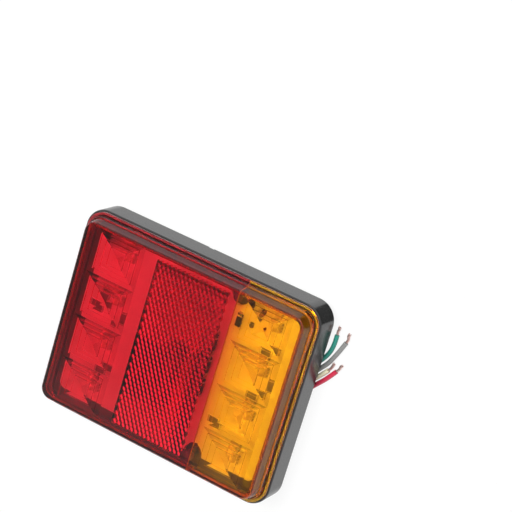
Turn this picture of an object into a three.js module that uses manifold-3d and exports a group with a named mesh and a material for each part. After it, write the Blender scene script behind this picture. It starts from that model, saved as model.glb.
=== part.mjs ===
// LED trailer tail light, about 127 by 100 by 26 mm, lying on its back with the lens up.
// A moulded housing on stand-off feet carries a white circuit board with eight LEDs, a two-colour
// lens with stepped pyramid optics and a cube-corner reflex reflector, and a grommet for four wires.
import * as THREE from "three";
import { mergeVertices } from "three/addons/utils/BufferGeometryUtils.js";
import Module from "manifold-3d";

const wasm = await Module();
wasm.setup();

// Driving dimensions in millimetres: +X runs to the amber end, +Y to the lamp's upper side,
// +Z out of the lens. The origin is under the middle of the lamp, on what it lies on.
const lampLength = 127;
const lampWidth = 100;
const cornerRadius = 10;
const footHeight = 3;
const housingHeight = 13.7;
const lensHeight = 8.8;
const fitGap = 0.3;
const cutOverrun = 1;

// Housing
const wallThickness = 2.3;
const floorThickness = 2;
const recessDepth = 6.2;
const seatWidth = 5.2;
const seatThickness = 3.8;
const grooveWidth = 1.6;
const grooveDepth = 2.2;
const footRadius = 4.5;
const footInset = 13;
const ribThickness = 1.6;
const ribHeight = 4;
const ribInset = 27;
const drainWidth = 3;
const drainDepth = 1.2;
const drainX = -4.5;

// Fixing bosses and their threaded inserts
const fixingSpacing = 70;
const bossRadius = 6;
const insertRadius = 3.5;
const insertBore = 2.1;
const insertLength = 8;
const insertGroove = 0.4;

// Lens
const seatLedge = 1;
const flangeWidth = 4.4;
const flangeThickness = 1.3;
const flangeStep = 1.6;
const lowerSkirtHeight = 2;
const lowerSkirtDraft = 0.4;
const ledgeStep = 0.7;
const upperSkirtDraft = 0.8;
const faceRounding = 0.5;
const lensWall = 2.2;
const tongueInset = 2.5;
const tongueWidth = 1.2;
const tongueDepth = 1.2;
const amberLength = 38.9;
const colourGap = 0.2;

// Lens optics
const ledCount = 4;
const tileEndInset = 6.2;
const tileBorderGap = 1.75;
const tileEndGap = 10.55;
const frameCount = 3;
const frameWidth = 3;
const frameSideWidth = 2.2;
const frameDepth = 0.9;
const frameRoot = 0.05;
const pyramidDepth = 1.4;
const reflexEndInset = 8.4;
const reflexBorderGap = 5.3;
const prismPitch = 2.4;
const prismRoot = 0.2;

// Circuit board
const boardEndGap = 10.2;
const boardSideGap = 9.9;
const boardThickness = 1.6;
const boardStandOff = 2.2;
const boardCorner = 3;
const openingRadius = 14;
const notchRadius = 5.5;
const notchOffset = 2.1;
const postRadius = 2.5;
const postHeight = 8.3;
const padRadius = 3;
const padInsetX = 5.3;
const padInsetY = 4.1;
const pegRadius = 1.1;
const pegHeight = 5;
const pegInsetX = 20.9;
const pegInsetY = 11.1;

// Board screws
const screwInset = 7.1;
const screwRadius = 1.3;
const screwHeadRadius = 2.5;
const screwHeadHeight = 1.8;
const screwLength = 5;
const screwSlotWidth = 0.7;
const screwSlotDepth = 0.8;

// LEDs and the other components on the board
const ledSize = 5;
const ledHeight = 1.6;
const ledDomeRadius = 2.2;
const ledDomeHeight = 1.9;
const diodeRadius = 1.5;
const diodeLength = 7.6;
const diodeLeadRadius = 0.4;
const diodeLeadReach = 1.4;
const diodeRow = 11;
const diodeOpeningGap = 2.3;
const diodeY = 3.1;
const chipLength = 6.3;
const chipWidth = 3.2;
const chipHeight = 0.6;
const chipCap = 0.6;
const chipCapStep = 0.05;
const moldedLength = 5.6;
const moldedWidth = 3.4;
const moldedHeight = 2.1;
const moldedTab = 1.1;
const moldedTabThickness = 0.3;
const supplyInsetX = 27.6;
const supplyInsetY = 11.1;

// Cable entry and wires
const entryRadius = 5.5;
const grommetFlange = 8;
const grommetThickness = 1.2;
const sealantRadius = 9;
const sealantHeight = 2.4;
const wireRadius = 1.1;
const conductorRadius = 0.6;
const leadOpeningGap = 4.5;
const leadRise = 2.75;

// Heights that follow from the sizes above
const rimZ = footHeight;
const recessZ = rimZ + recessDepth;
const floorZ = recessZ + floorThickness;
const seatZ = rimZ + housingHeight;
const faceZ = seatZ + lensHeight;
const boardZ = floorZ + boardStandOff;
const componentZ = boardZ + boardThickness;
const innerFaceZ = faceZ - lensWall;

// Lengths and places that follow from the sizes above
const colourBorderX = lampLength / 2 - amberLength;
const tilePitch = (lampWidth - 2 * tileEndInset) / ledCount;
const tileWidth = amberLength - tileBorderGap - tileEndGap;
const tileColumnX = colourBorderX + tileBorderGap + tileWidth / 2;
const reflexLength = lampWidth - 2 * reflexEndInset;
const reflexWidth = 2 * (colourBorderX - reflexBorderGap);
const boardLength = lampLength - 2 * boardEndGap;
const boardWidth = lampWidth - 2 * boardSideGap;
const notchX = colourBorderX - notchOffset;
const diodeX = openingRadius + diodeOpeningGap;
const supplyX = boardLength / 2 - supplyInsetX;
const supplyY = boardWidth / 2 - supplyInsetY;
const leadReach = openingRadius + leadOpeningGap;

// Steps along the wires
const wireStep = 5 * wireRadius;
const leadStep = 2 * wireRadius;

const cornerSteps = 5;
const roundSides = 20;
const smallSides = 12;
const wireSides = 8;
const hexSides = 6;
const ninety = Math.PI / 2;

const lamp = new THREE.Group();

const finishes = {
  housingPlastic: { color: 0x3a3b3c, roughness: 0.5, metalness: 0 },
  redLens: { color: 0xd81826, roughness: 0.08, metalness: 0 },
  amberLens: { color: 0xf7931a, roughness: 0.08, metalness: 0 },
  whiteBoard: { color: 0xf2f2ee, roughness: 0.45, metalness: 0 },
  ledBody: { color: 0xf6f4e6, roughness: 0.4, metalness: 0 },
  blackEpoxy: { color: 0x141415, roughness: 0.5, metalness: 0 },
  blackRubber: { color: 0x1c1c1d, roughness: 0.8, metalness: 0 },
  zincSteel: { color: 0xb9bbbd, roughness: 0.35, metalness: 1 },
  brass: { color: 0xb5924a, roughness: 0.35, metalness: 1 },
  copper: { color: 0xb87a5c, roughness: 0.4, metalness: 1 },
  greenSheath: { color: 0x2d8d7d, roughness: 0.45, metalness: 0 },
  greySheath: { color: 0x919190, roughness: 0.45, metalness: 0 },
  creamSheath: { color: 0xe1dcbe, roughness: 0.45, metalness: 0 },
  redSheath: { color: 0xd2303f, roughness: 0.45, metalness: 0 },
};

// A closed solid from a three.js geometry.
function solidFrom(geometry) {
  const bare = geometry.index ? geometry.toNonIndexed() : geometry.clone();
  bare.deleteAttribute("normal");
  bare.deleteAttribute("uv");
  const merged = mergeVertices(bare);
  const vertProperties = new Float32Array(merged.attributes.position.array);
  const triVerts = new Uint32Array(merged.index.array);
  return new wasm.Manifold(new wasm.Mesh({ numProp: 3, vertProperties, triVerts }));
}

// A three.js geometry from a solid.
function geometryFrom(solid) {
  const { vertProperties, triVerts } = solid.getMesh();
  const geometry = new THREE.BufferGeometry();
  geometry.setAttribute("position", new THREE.BufferAttribute(vertProperties, 3));
  geometry.setIndex(new THREE.BufferAttribute(triVerts, 1));
  const faceted = geometry.toNonIndexed();
  faceted.computeVertexNormals();
  return faceted;
}

function addPiece(name, solid, finish) {
  const mesh = new THREE.Mesh(geometryFrom(solid), new THREE.MeshStandardMaterial(finishes[finish]));
  mesh.name = name;
  lamp.add(mesh);
  return mesh;
}

// A surface through a list of loops with the same number of points, from the middle of its
// underside out and up to the middle of its top. A ring joins its last loop to its first.
function loft(loops, { ring = false, lowPoint, highPoint } = {}) {
  const corners = [];
  const count = loops[0].length;
  const pairs = ring ? loops.length : loops.length - 1;
  for (let k = 0; k < pairs; k += 1) {
    const from = loops[k];
    const to = loops[(k + 1) % loops.length];
    for (let i = 0; i < count; i += 1) {
      const next = (i + 1) % count;
      corners.push(from[i], from[next], to[next], from[i], to[next], to[i]);
    }
  }
  if (!ring) {
    const low = lowPoint ?? middleOf(loops[0]);
    const high = highPoint ?? middleOf(loops.at(-1));
    for (let i = 0; i < count; i += 1) {
      const next = (i + 1) % count;
      corners.push(low, loops[0][next], loops[0][i]);
      corners.push(high, loops.at(-1)[i], loops.at(-1)[next]);
    }
  }
  return solidFrom(new THREE.BufferGeometry().setFromPoints(corners));
}

function middleOf(loop) {
  const middle = new THREE.Vector3();
  loop.forEach((point) => middle.add(point));
  return middle.divideScalar(loop.length);
}

// A rectangle with round corners, at a height, as a loop of points.
function roundedLoop(length, width, radius, z) {
  const loop = [];
  const signs = [[1, 1], [-1, 1], [-1, -1], [1, -1]];
  signs.forEach(([signX, signY], quarter) => {
    const centreX = signX * (length / 2 - radius);
    const centreY = signY * (width / 2 - radius);
    for (let step = 0; step <= cornerSteps; step += 1) {
      const angle = (quarter + step / cornerSteps) * ninety;
      const x = centreX + radius * Math.cos(angle);
      loop.push(new THREE.Vector3(x, centreY + radius * Math.sin(angle), z));
    }
  });
  return loop;
}

// The lamp's outline, drawn in by an inset.
function outline(inset, z) {
  return roundedLoop(lampLength - 2 * inset, lampWidth - 2 * inset, cornerRadius - inset, z);
}

// An upright round bar between two heights.
function bar(radius, x, y, lowZ, highZ, sides = roundSides) {
  const geometry = new THREE.CylinderGeometry(radius, radius, highZ - lowZ, sides);
  geometry.rotateX(ninety);
  geometry.translate(x, y, (lowZ + highZ) / 2);
  return solidFrom(geometry);
}

// A block given by its middle, its sizes along X and Y, and two heights.
function block(x, y, sizeX, sizeY, lowZ, highZ) {
  const geometry = new THREE.BoxGeometry(sizeX, sizeY, highZ - lowZ);
  geometry.translate(x, y, (lowZ + highZ) / 2);
  return solidFrom(geometry);
}

// A turned piece: the profile is a list of radius and height, from the axis round to the axis.
function turned(profile, sides = roundSides) {
  const points = profile.map(([radius, z]) => new THREE.Vector2(radius, z));
  const geometry = new THREE.LatheGeometry(points, sides);
  geometry.rotateX(ninety);
  return solidFrom(geometry);
}

// A round cap: an arc over an upright foot, which may be nothing
function cap(radius, height, lowZ, foot, sides) {
  const arcSteps = 4;
  const profile = [[0, lowZ]];
  if (foot > 0) profile.push([radius, lowZ]);
  for (let step = 0; step <= arcSteps; step += 1) {
    const angle = (step / arcSteps) * ninety;
    const reach = step === arcSteps ? 0 : radius * Math.cos(angle);
    profile.push([reach, lowZ + foot + height * Math.sin(angle)]);
  }
  return turned(profile, sides);
}

function joined(solids) {
  return solids.reduce((whole, solid) => whole.add(solid));
}

// Places used by more than one piece
const fixingXs = [-fixingSpacing / 2, fixingSpacing / 2];
const screwY = boardWidth / 2 - screwInset;
const screwYs = [-screwY, screwY];
const notchY = boardWidth / 2;
const postY = notchY - fitGap;
const pegX = boardLength / 2 - pegInsetX;
const pegY = boardWidth / 2 - pegInsetY;
const pegPlaces = [[pegX, pegY], [-pegX / 2, -pegY]];
const padX = boardLength / 2 - padInsetX;
const padY = boardWidth / 2 - padInsetY;
const padPlaces = [[padX, padY], [-padX, padY], [-padX, -padY], [padX, -padY]];
const ledYs = Array.from({ length: ledCount }, (_, row) => ((ledCount - 1) / 2 - row) * tilePitch);

// Housing: a tray with a thickened seat and groove for the lens, and a recess at its back
function makeHousing() {
  const shell = loft([outline(0, rimZ), outline(0, seatZ)]);
  const seatBottomZ = seatZ - seatThickness;
  const shoulderSlope = seatWidth - wallThickness;
  const cavity = loft([
    outline(wallThickness, floorZ),
    outline(wallThickness, seatBottomZ - shoulderSlope / 2),
    outline(seatWidth, seatBottomZ),
    outline(seatWidth, seatZ + cutOverrun),
  ]);
  const groove = loft(
    [
      outline(wallThickness, seatZ - grooveDepth),
      outline(wallThickness, seatZ + cutOverrun),
      outline(wallThickness + grooveWidth, seatZ + cutOverrun),
      outline(wallThickness + grooveWidth, seatZ - grooveDepth),
    ],
    { ring: true },
  );
  const recess = loft([outline(wallThickness, rimZ - cutOverrun), outline(wallThickness, recessZ)]);
  const tray = shell.subtract(cavity).subtract(recess).subtract(groove);
  const backDetails = joined([...ribs(), ...feet(), ...fixingBosses()]);
  const supports = joined([...boardPads(), ...boardPegs(), ...lensPosts()]);
  const entry = bar(entryRadius, 0, 0, recessZ - cutOverrun, floorZ + cutOverrun);
  const drain = block(drainX, lampWidth / 2, drainWidth, 4 * wallThickness, 0, rimZ + drainDepth);
  return tray.add(backDetails).add(supports).subtract(entry).subtract(drain).subtract(joined(pilotHoles()));
}

function ribs() {
  const ribBottomZ = recessZ - ribHeight;
  const ribY = lampWidth / 2 - ribInset;
  const lengthways = [-ribY, ribY].map((y) =>
    block(0, y, lampLength - 2 * wallThickness, ribThickness, ribBottomZ, recessZ),
  );
  const across = fixingXs.map((x) =>
    block(x, 0, ribThickness, lampWidth - 2 * wallThickness, ribBottomZ, recessZ),
  );
  return [...lengthways, ...across];
}

function feet() {
  const footX = lampLength / 2 - footInset;
  const footY = lampWidth / 2 - footInset;
  return [[footX, footY], [-footX, footY], [-footX, -footY], [footX, -footY]].map(([x, y]) =>
    bar(footRadius, x, y, 0, recessZ),
  );
}

function fixingBosses() {
  return fixingXs.map((x) => bar(bossRadius, x, 0, 0, recessZ));
}

function boardPads() {
  const screwPads = screwYs.map((y) => [0, y]);
  return [...padPlaces, ...screwPads].map(([x, y]) => bar(padRadius, x, y, floorZ, boardZ));
}

function boardPegs() {
  return pegPlaces.map(([x, y]) => bar(pegRadius, x, y, floorZ, floorZ + pegHeight, smallSides));
}

function lensPosts() {
  return [-postY, postY].map((y) => bar(postRadius, notchX, y, floorZ, floorZ + postHeight));
}

function pilotHoles() {
  const holeTopZ = insertLength + 2 * fitGap;
  const holes = fixingXs.map((x) => bar(insertRadius + fitGap, x, 0, -cutOverrun, holeTopZ));
  const pilotDepth = screwLength - boardThickness + fitGap;
  const pilots = screwYs.map((y) =>
    bar(screwRadius + fitGap, 0, y, boardZ - pilotDepth, boardZ + cutOverrun, smallSides),
  );
  return [...holes, ...pilots];
}

// Lens shell: a flange, a lower skirt, a ledge, an upper skirt and a flat face, hollow beneath
function makeLensShell() {
  const lowerInset = seatLedge + flangeStep;
  const ledgeInset = lowerInset + lowerSkirtDraft;
  const upperInset = ledgeInset + ledgeStep;
  const edgeInset = upperInset + upperSkirtDraft;
  const flangeTopZ = seatZ + flangeThickness;
  const ledgeZ = flangeTopZ + lowerSkirtHeight;
  const outside = loft([
    outline(seatLedge, seatZ),
    outline(seatLedge, flangeTopZ),
    outline(lowerInset, flangeTopZ),
    outline(ledgeInset, ledgeZ),
    outline(upperInset, ledgeZ),
    outline(edgeInset, faceZ - faceRounding),
    outline(edgeInset + faceRounding, faceZ),
  ]);
  const innerInset = seatLedge + flangeWidth;
  const roofInset = edgeInset + lensWall;
  const hollow = loft([
    outline(innerInset, seatZ - cutOverrun),
    outline(innerInset, seatZ),
    outline(roofInset, innerFaceZ),
  ]);
  const tongueEnd = tongueInset + tongueWidth;
  const tongueLowZ = seatZ - tongueDepth;
  const tongue = loft(
    [
      outline(tongueInset, tongueLowZ),
      outline(tongueInset, seatZ + flangeThickness / 2),
      outline(tongueEnd, seatZ + flangeThickness / 2),
      outline(tongueEnd, tongueLowZ),
    ],
    { ring: true },
  );
  return outside.subtract(hollow).add(tongue);
}

// One optic tile under the lens face: frames that slope down to their inner edge and step back up,
// round a four-sided pyramid
function opticTile(x, y) {
  const loops = [];
  const rectangle = (frame, z) => {
    const halfX = tileWidth / 2 - frame * frameWidth;
    const halfY = tilePitch / 2 - frame * frameSideWidth;
    const places = [[1, 1], [-1, 1], [-1, -1], [1, -1]];
    return places.map(([signX, signY]) => new THREE.Vector3(x + signX * halfX, y + signY * halfY, z));
  };
  const rootZ = innerFaceZ - frameRoot;
  for (let frame = frameCount; frame > 0; frame -= 1) {
    loops.push(rectangle(frame, rootZ));
    loops.push(rectangle(frame, innerFaceZ - frameDepth));
  }
  loops.push(rectangle(0, rootZ));
  loops.push(rectangle(0, innerFaceZ + lensWall / 2));
  const lowPoint = new THREE.Vector3(x, y, innerFaceZ - pyramidDepth);
  return loft(loops, { lowPoint });
}

// Cube corners side by side: each cell has three square faces that meet at its lowest point. The
// corners of the cells lie on a grid of half pitches and sixths of a row, which finds the cells'
// shared edges and leaves the edges of the outline.
function reflexPrisms() {
  const cubeEdge = prismPitch / Math.SQRT2;
  const stepZ = cubeEdge / Math.sqrt(3);
  const rowPitch = (prismPitch * Math.sqrt(3)) / 2;
  const cornerReach = prismPitch / Math.sqrt(3);
  const topZ = innerFaceZ + lensWall / 2;
  const highZ = innerFaceZ - prismRoot;
  const rows = Math.floor(reflexLength / rowPitch);
  const longRow = Math.floor(reflexWidth / prismPitch);
  const place = (row, column) => {
    const count = longRow - (row % 2);
    const x = (column - (count - 1) / 2) * prismPitch;
    return [x, (row - (rows - 1) / 2) * rowPitch];
  };
  const edges = new Map();
  const corners = [];
  const keyOf = (point) => {
    const across = Math.round((2 * point.x) / prismPitch);
    return `${across},${Math.round((hexSides * point.y) / rowPitch)}`;
  };
  for (let row = 0; row < rows; row += 1) {
    for (let column = 0; column < longRow - (row % 2); column += 1) {
      const [x, y] = place(row, column);
      const rim = Array.from({ length: hexSides }, (_, side) => {
        const angle = ((side + 1 / 2) * 2 * Math.PI) / hexSides;
        const z = side % 2 === 0 ? highZ - stepZ : highZ;
        return new THREE.Vector3(x + cornerReach * Math.cos(angle), y + cornerReach * Math.sin(angle), z);
      });
      const apex = new THREE.Vector3(x, y, highZ - 2 * stepZ);
      const above = new THREE.Vector3(x, y, topZ);
      const raised = rim.map((point) => new THREE.Vector3(point.x, point.y, topZ));
      for (let side = 0; side < hexSides; side += 1) {
        const next = (side + 1) % hexSides;
        corners.push(above, raised[side], raised[next]);
        const wall = [rim[side], rim[next], raised[next], raised[side]];
        edges.set(`${keyOf(rim[side])} ${keyOf(rim[next])}`, wall);
      }
      for (let side = 0; side < hexSides; side += 2) {
        const middle = rim[(side + 1) % hexSides];
        const far = rim[(side + 2) % hexSides];
        corners.push(apex, middle, rim[side], apex, far, middle);
      }
    }
  }
  edges.forEach(([from, to, toRaised, fromRaised], key) => {
    const [start, end] = key.split(" ");
    if (!edges.has(`${end} ${start}`)) corners.push(from, to, toRaised, from, toRaised, fromRaised);
  });
  return solidFrom(new THREE.BufferGeometry().setFromPoints(corners));
}

function opticColumn(x) {
  return joined(ledYs.map((y) => opticTile(x, y)));
}

function sliceOf(solid, lowX, highX) {
  const middleX = (lowX + highX) / 2;
  return solid.intersect(block(middleX, 0, highX - lowX, 2 * lampWidth, -lampWidth, lampWidth));
}

// Seal: a bead of gasket along the bottom of the groove
function makeLensSeal() {
  const sideGap = grooveWidth / 8;
  const inset = wallThickness + sideGap;
  const innerInset = wallThickness + grooveWidth - sideGap;
  const lowZ = seatZ - grooveDepth;
  const highZ = seatZ - tongueDepth - fitGap;
  return loft(
    [outline(inset, lowZ), outline(inset, highZ), outline(innerInset, highZ), outline(innerInset, lowZ)],
    { ring: true },
  );
}

// Circuit board: round corners, a round opening over the cable entry, and two half-round notches
function makeBoard() {
  const shape = [boardZ, componentZ].map((z) => roundedLoop(boardLength, boardWidth, boardCorner, z));
  const through = (radius, x, y) => bar(radius, x, y, boardZ - cutOverrun, componentZ + cutOverrun);
  const cuts = [
    through(openingRadius, 0, 0),
    ...[-notchY, notchY].map((y) => through(notchRadius, notchX, y)),
    ...pegPlaces.map(([x, y]) => through(pegRadius + fitGap, x, y)),
    ...screwYs.map((y) => through(screwRadius + fitGap, 0, y)),
  ];
  return loft(shape).subtract(joined(cuts));
}

function makeScrew(y) {
  const headZ = componentZ + screwHeadHeight;
  const rounded = screwHeadHeight / 3;
  const screw = turned([
    [0, componentZ + fitGap / 2 - screwLength],
    [screwRadius, componentZ + screwRadius - screwLength],
    [screwRadius, componentZ],
    [screwHeadRadius, componentZ],
    [screwHeadRadius, headZ - rounded],
    [screwHeadRadius - rounded, headZ],
    [0, headZ],
  ], smallSides);
  const reach = 3 * screwHeadRadius / 2;
  const slotLowZ = headZ - screwSlotDepth;
  const slots = block(0, 0, reach, screwSlotWidth, slotLowZ, headZ + cutOverrun).add(
    block(0, 0, screwSlotWidth, reach, slotLowZ, headZ + cutOverrun),
  );
  return screw.subtract(slots).translate([0, y, 0]);
}

function makeLed(x, y) {
  const topZ = componentZ + ledHeight;
  const body = block(x, y, ledSize, ledSize, componentZ, topZ);
  const dome = cap(ledDomeRadius, ledDomeHeight, topZ - ledHeight / 2, ledHeight / 2, smallSides);
  return body.add(dome.translate([x, y, 0]));
}

// Axial diode: a round body along Y whose leads bend down to the board
function makeAxialDiode(x, y) {
  const axisZ = componentZ + diodeRadius + fitGap / 2;
  const body = new THREE.CylinderGeometry(diodeRadius, diodeRadius, diodeLength, smallSides);
  body.translate(x, y, axisZ);
  const end = diodeLength / 2 + diodeLeadReach;
  const run = new THREE.CylinderGeometry(diodeLeadRadius, diodeLeadRadius, 2 * end, wireSides);
  run.translate(x, y, axisZ);
  const legs = [-1, 1].map((side) => {
    const legY = y + side * (end - diodeLeadRadius);
    return bar(diodeLeadRadius, x, legY, componentZ, axisZ + diodeLeadRadius, wireSides);
  });
  return joined([solidFrom(body), solidFrom(run), ...legs]);
}

// A piece along X turned a quarter to lie along Y.
function turnedUpright(solid) {
  return solid.rotate([0, 0, 90]);
}

// Chip resistor: a flat body with a thicker metal cap at each end
function makeChip(x, y, upright) {
  const bodyTop = chipHeight - chipCapStep;
  const body = block(0, 0, chipLength, chipWidth, chipCapStep, bodyTop);
  const capX = (chipLength - chipCap) / 2;
  const caps = [-capX, capX].map((place) => block(place, 0, chipCap, chipWidth, 0, chipHeight));
  const chip = joined([body, ...caps]);
  return (upright ? turnedUpright(chip) : chip).translate([x, y, componentZ]);
}

// Moulded diode: a block with drawn-in upper sides and a flat tab at each end
function makeMoldedDiode(x, y) {
  const corner = moldedTab / 4;
  const body = loft([
    roundedLoop(moldedLength, moldedWidth, corner, moldedTabThickness),
    roundedLoop(moldedLength, moldedWidth, corner, moldedHeight / 2),
    roundedLoop(moldedLength - corner, moldedWidth - corner, corner, moldedHeight),
  ]);
  const span = moldedLength + 2 * moldedTab;
  const tab = block(0, 0, span, moldedWidth / 2, 0, 2 * moldedTabThickness);
  return turnedUpright(body.add(tab)).translate([x, y, componentZ]);
}

// Threaded insert: a brass sleeve with two grip grooves
function makeInsert(x) {
  const band = insertLength / 5;
  const waist = insertRadius - insertGroove;
  const levels = [0, 1, 2, 3, 4, 5].map((step) => fitGap + step * band);
  const profile = [
    [insertBore, levels[0]],
    [insertRadius, levels[0]],
    [insertRadius, levels[1]],
    [waist, levels[1]],
    [waist, levels[2]],
    [insertRadius, levels[2]],
    [insertRadius, levels[3]],
    [waist, levels[3]],
    [waist, levels[4]],
    [insertRadius, levels[4]],
    [insertRadius, levels[5]],
    [insertBore, levels[5]],
    [insertBore, levels[0]],
  ];
  return turned(profile, smallSides).translate([x, 0, 0]);
}

// Grommet: a plug in the floor with a flange at the back
function makeGrommet() {
  const plug = entryRadius - fitGap;
  return turned([
    [0, recessZ - grommetThickness],
    [grommetFlange - grommetThickness / 2, recessZ - grommetThickness],
    [grommetFlange, recessZ - grommetThickness / 2],
    [grommetFlange, recessZ],
    [plug, recessZ],
    [plug, floorZ],
    [0, floorZ],
  ]);
}

// Sealant: a low dome poured over the cable entry inside the housing
function makeSealant() {
  return cap(sealantRadius, sealantHeight, floorZ, 0, roundSides);
}

// A tube along a smooth line through points
function tube(points, radius, stepLength) {
  const places = points.map((point) => new THREE.Vector3(...point));
  const line = new THREE.CatmullRomCurve3(places, false, "centripetal");
  const section = new THREE.Shape();
  for (let side = 0; side < wireSides; side += 1) {
    const angle = (side * 2 * Math.PI) / wireSides;
    const x = radius * Math.cos(angle);
    if (side === 0) section.moveTo(x, 0);
    else section.lineTo(x, radius * Math.sin(angle));
  }
  const steps = Math.ceil(line.getLength() / stepLength);
  return solidFrom(new THREE.ExtrudeGeometry(section, { steps, extrudePath: line }));
}

// Routes of the four wires, in millimetres: down from the grommet, along the surface under the
// lamp, out past its amber end. Each has the start of its bare copper end as its last point.
const wires = {
  green: {
    route: [
      [0, 3.75, 7.7], [0, 3.75, 6.4], [0.4, 3.75, 4.41], [1.52, 3.75, 2.72], [3.21, 3.75, 1.6],
      [5.2, 3.6, 1.2], [9, 2.4, 1.2], [14.4, -0.6, 1.2], [19.5, -4.3, 1.2], [25.4, -7.7, 1.2],
      [31.4, -9.5, 1.2], [36.3, -9.2, 1.2], [40.1, -7.2, 1.2], [43.7, -3, 1.2], [47.1, 1.6, 1.2],
      [50.7, 6.8, 1.2], [54, 11.4, 1.2], [57.3, 15.8, 1.2], [60.4, 20.2, 1.2], [63.2, 24.3, 1.2],
      [65, 28.2, 1.2], [65.7, 32.4, 1.2], [65.7, 36.7, 1.2],
    ],
    tip: [[65.7, 37, 1.2], [65.6, 38.6, 1.2], [65.9, 40, 1.2], [65.5, 41.4, 1.2]],
  },
  grey: {
    route: [
      [0, 1.25, 7.7], [0, 1.25, 6.4], [0.4, 1.25, 4.41], [1.52, 1.25, 2.72], [3.21, 1.25, 1.6],
      [5.2, 1.1, 1.2], [8.6, -0.1, 1.2], [12.9, -2.7, 1.2], [18.2, -6.4, 1.2], [24.4, -10, 1.2],
      [31, -12, 1.2], [36.9, -11.6, 1.2], [41.8, -9, 1.2], [45.7, -4.6, 1.2], [49.2, 0.3, 1.2],
      [52.7, 5.3, 1.2], [56, 9.9, 1.2], [59.3, 14.1, 1.2], [62.5, 18.3, 1.2], [65.7, 22.7, 1.2],
      [68.4, 28.5, 1.2], [70.9, 35.1, 1.2],
    ],
    tip: [[71, 35.4, 1.2], [71.4, 37, 1.2], [71.1, 38.6, 1.2], [71.4, 40, 1.2]],
  },
  cream: {
    route: [
      [0, -1.25, 7.7], [0, -1.25, 6.4], [0.4, -1.25, 4.41], [1.52, -1.25, 2.72], [3.21, -1.25, 1.6],
      [5.2, -1.35, 1.2], [8.2, -2.55, 1.2], [11.5, -4.6, 1.2], [16.8, -8.6, 1.2], [23.3, -12.3, 1.2],
      [30.7, -14.5, 1.2], [37.6, -14, 1.2], [43.5, -10.9, 1.2], [47.6, -6.2, 1.2], [51.2, -1.1, 1.2],
      [54.7, 3.8, 1.2], [58.1, 8.4, 1.2], [61.3, 12.5, 1.2], [64.3, 16.2, 1.2], [66.9, 19.6, 1.2],
    ],
    tip: [[67.1, 19.9, 1.2], [67.9, 21.3, 1.2], [68.4, 22.8, 1.2], [68.6, 24.3, 1.2]],
  },
  red: {
    route: [
      [0, -3.75, 7.7], [0, -3.75, 6.4], [0.4, -3.75, 4.41], [1.52, -3.75, 2.72], [3.21, -3.75, 1.6],
      [5.2, -3.9, 1.2], [8, -5.15, 1.2], [10.6, -7.15, 1.2], [15.5, -10.8, 1.2], [22.3, -14.6, 1.2],
      [30.3, -16.9, 1.2], [38.3, -16.4, 1.2], [45.1, -12.8, 1.2], [49.5, -7.8, 1.2], [53.3, -2.5, 1.2],
      [56.7, 2.4, 1.2], [60.1, 6.9, 1.2], [63.4, 10.9, 1.2], [67.1, 15.4, 1.2], [70.7, 20.7, 1.2],
    ],
    tip: [[70.9, 21, 1.2], [71.7, 22.3, 1.2], [72.1, 23.7, 1.2], [72.9, 24.9, 1.2]],
  },
};

// Inside the housing each wire rises out of the sealant and bends over onto the board
function makeLead(index) {
  const angle = (index + 1 / 2) * ninety;
  const ring = (reachShare, z) => [
    leadReach * reachShare * Math.cos(angle),
    leadReach * reachShare * Math.sin(angle),
    z,
  ];
  const startZ = floorZ + sealantHeight + fitGap;
  const topZ = componentZ + leadRise;
  const restZ = componentZ + wireRadius + fitGap / 2;
  const reachShares = [0.1, 0.11, 0.2, 0.38, 0.6, 0.8, 1];
  const points = [
    ring(reachShares[0], startZ),
    ring(reachShares[1], startZ + wireRadius),
    ring(reachShares[2], topZ - wireRadius / 2),
    ring(reachShares[3], topZ),
    ring(reachShares[4], topZ),
    ring(reachShares[5], (topZ + restZ) / 2),
    ring(reachShares[6], restZ),
  ];
  return tube(points, wireRadius, leadStep);
}

const lensShell = makeLensShell();
const halfBorder = colourGap / 2;
const redBody = sliceOf(lensShell, -lampLength, colourBorderX - halfBorder);
const amberBody = sliceOf(lensShell, colourBorderX + halfBorder, lampLength);
const redOptics = opticColumn(-tileColumnX).add(reflexPrisms());

addPiece("housing", makeHousing(), "housingPlastic");
addPiece("lens_seal", makeLensSeal(), "blackRubber");
addPiece("red_lens", redBody.add(redOptics), "redLens");
addPiece("amber_lens", amberBody.add(opticColumn(tileColumnX)), "amberLens");
addPiece("circuit_board", makeBoard(), "whiteBoard");

ledYs.forEach((y, row) => {
  addPiece(`red_led_${row + 1}`, makeLed(-tileColumnX, y), "ledBody");
  addPiece(`amber_led_${row + 1}`, makeLed(tileColumnX, y), "ledBody");
});

const diodeNames = ["tail_diode", "stop_diode", "indicator_diode"];
diodeNames.forEach((name, index) => {
  addPiece(name, makeAxialDiode(diodeX, diodeY + (1 - index) * diodeRow), "blackEpoxy");
});

// Chip resistors stand between the LEDs, at shares of the tile column's width and pitch
const chipShares = [
  { name: "amber_resistor_1", side: 1, x: 0.07, y: 1.01, upright: false },
  { name: "amber_resistor_2", side: 1, x: 0.06, y: 0.02, upright: false },
  { name: "amber_resistor_3", side: 1, x: 0.22, y: 0.26, upright: true },
  { name: "amber_resistor_4", side: 1, x: -0.42, y: -0.92, upright: false },
  { name: "red_resistor_1", side: -1, x: -0.23, y: 0.27, upright: false },
  { name: "red_resistor_2", side: -1, x: 0.16, y: 0.16, upright: true },
  { name: "red_resistor_3", side: -1, x: 0.15, y: -0.98, upright: false },
];
chipShares.forEach(({ name, side, x, y, upright }) => {
  const chipX = side * tileColumnX + x * tileWidth;
  addPiece(name, makeChip(chipX, y * tilePitch, upright), "blackEpoxy");
});
addPiece("supply_diode", makeMoldedDiode(supplyX, supplyY), "blackEpoxy");

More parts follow.
